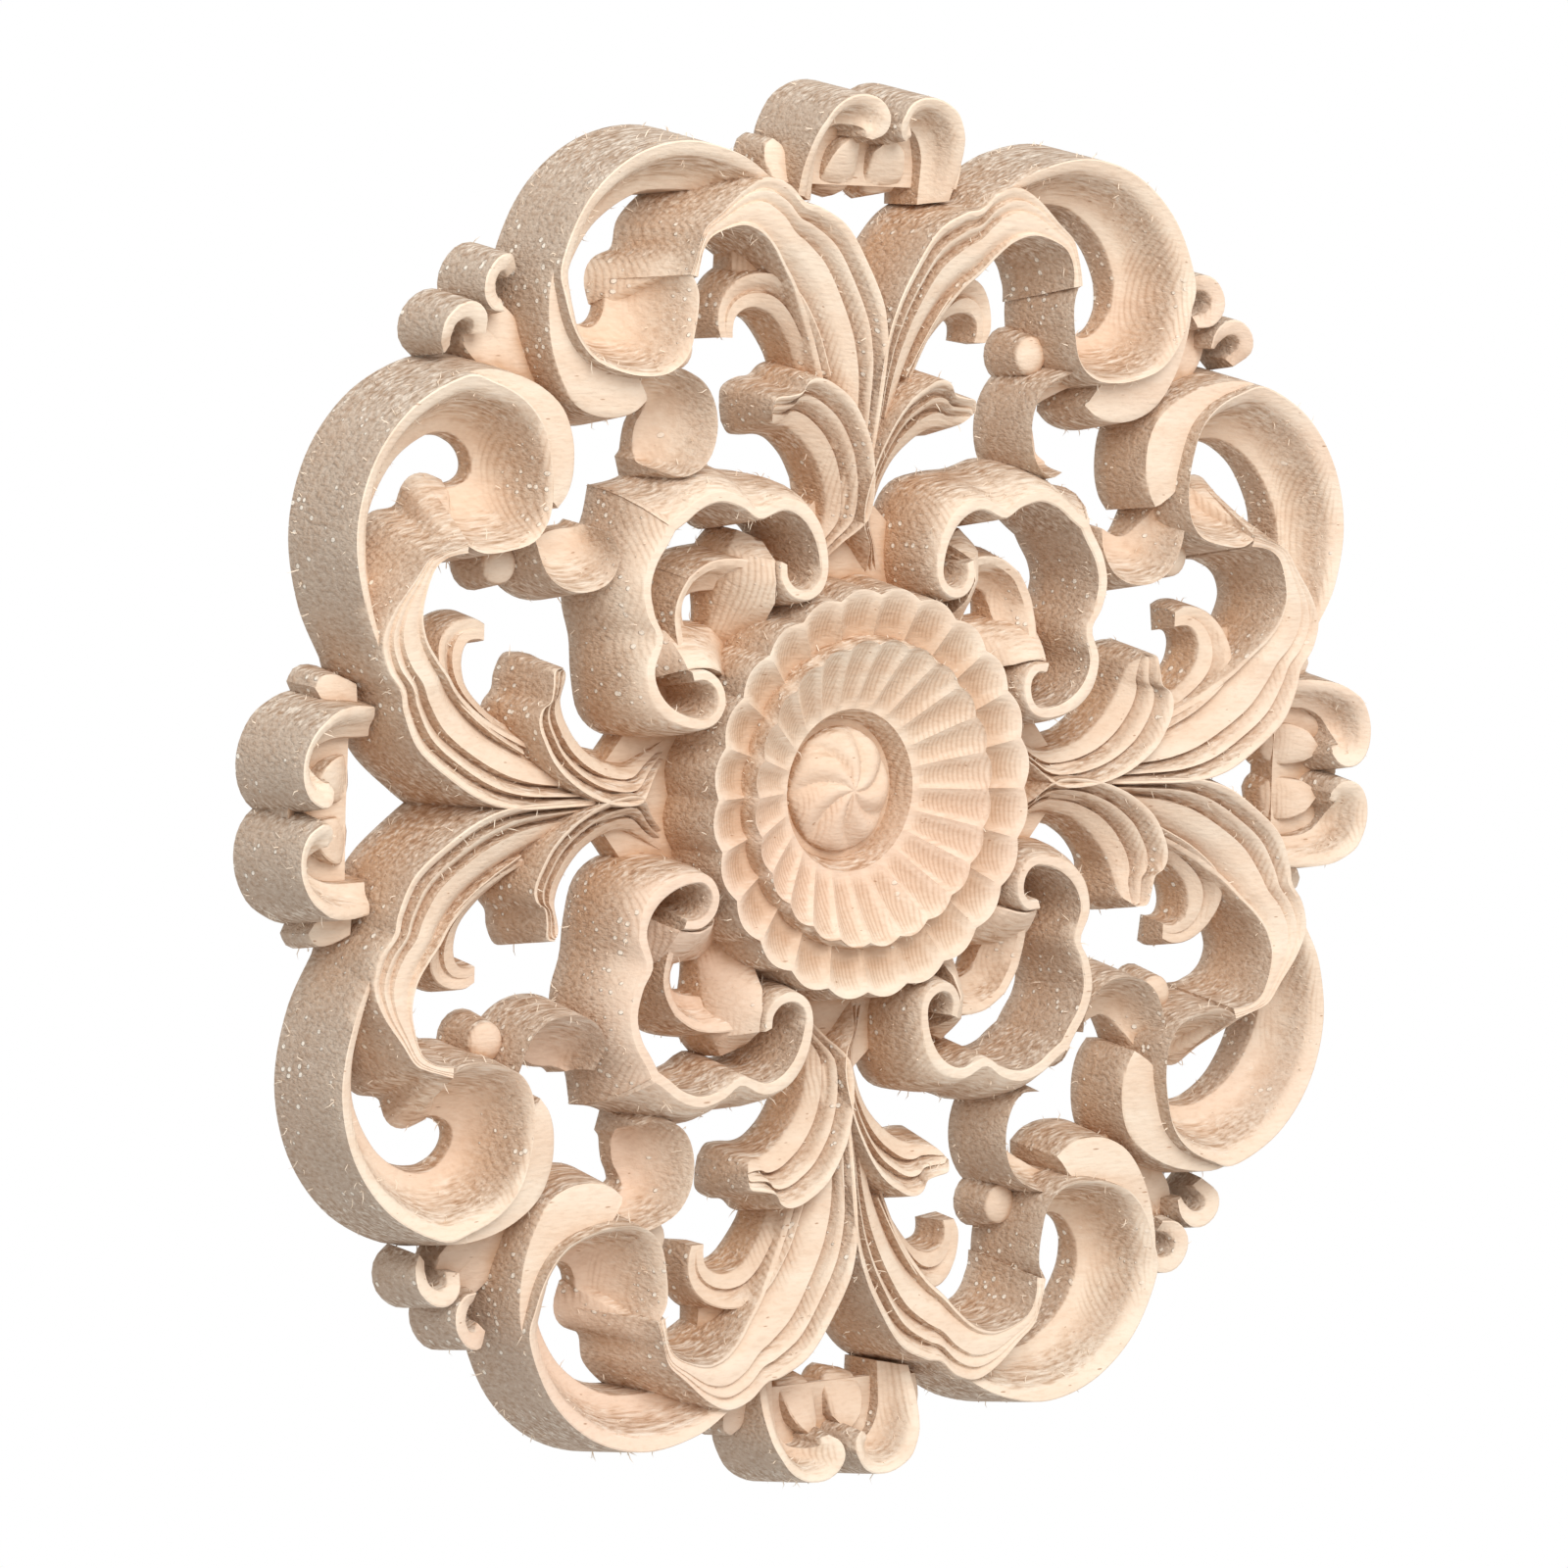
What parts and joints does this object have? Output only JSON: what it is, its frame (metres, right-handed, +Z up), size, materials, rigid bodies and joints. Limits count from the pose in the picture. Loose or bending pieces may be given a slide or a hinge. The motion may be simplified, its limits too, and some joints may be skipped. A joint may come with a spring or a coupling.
{
  "type": "carved wood applique",
  "caption": "Round pierced wood relief of scrolls, acanthus leaves and knots about a fluted rosette, with a flat back.",
  "frame": {"origin": "centre of the flat back, on the face that is glued or nailed down", "axes": "+Y into the surface that the relief is fixed to, so the carved front faces -Y; +Z up and +X to the right, each through a knot"},
  "size_m": [0.1002, 0.0065, 0.1002],
  "materials": {
    "raw_wood": "raw, unsanded"
  },
  "bodies": {
    "root": {"carved_applique": "raw_wood"}
  },
  "joints": []
}
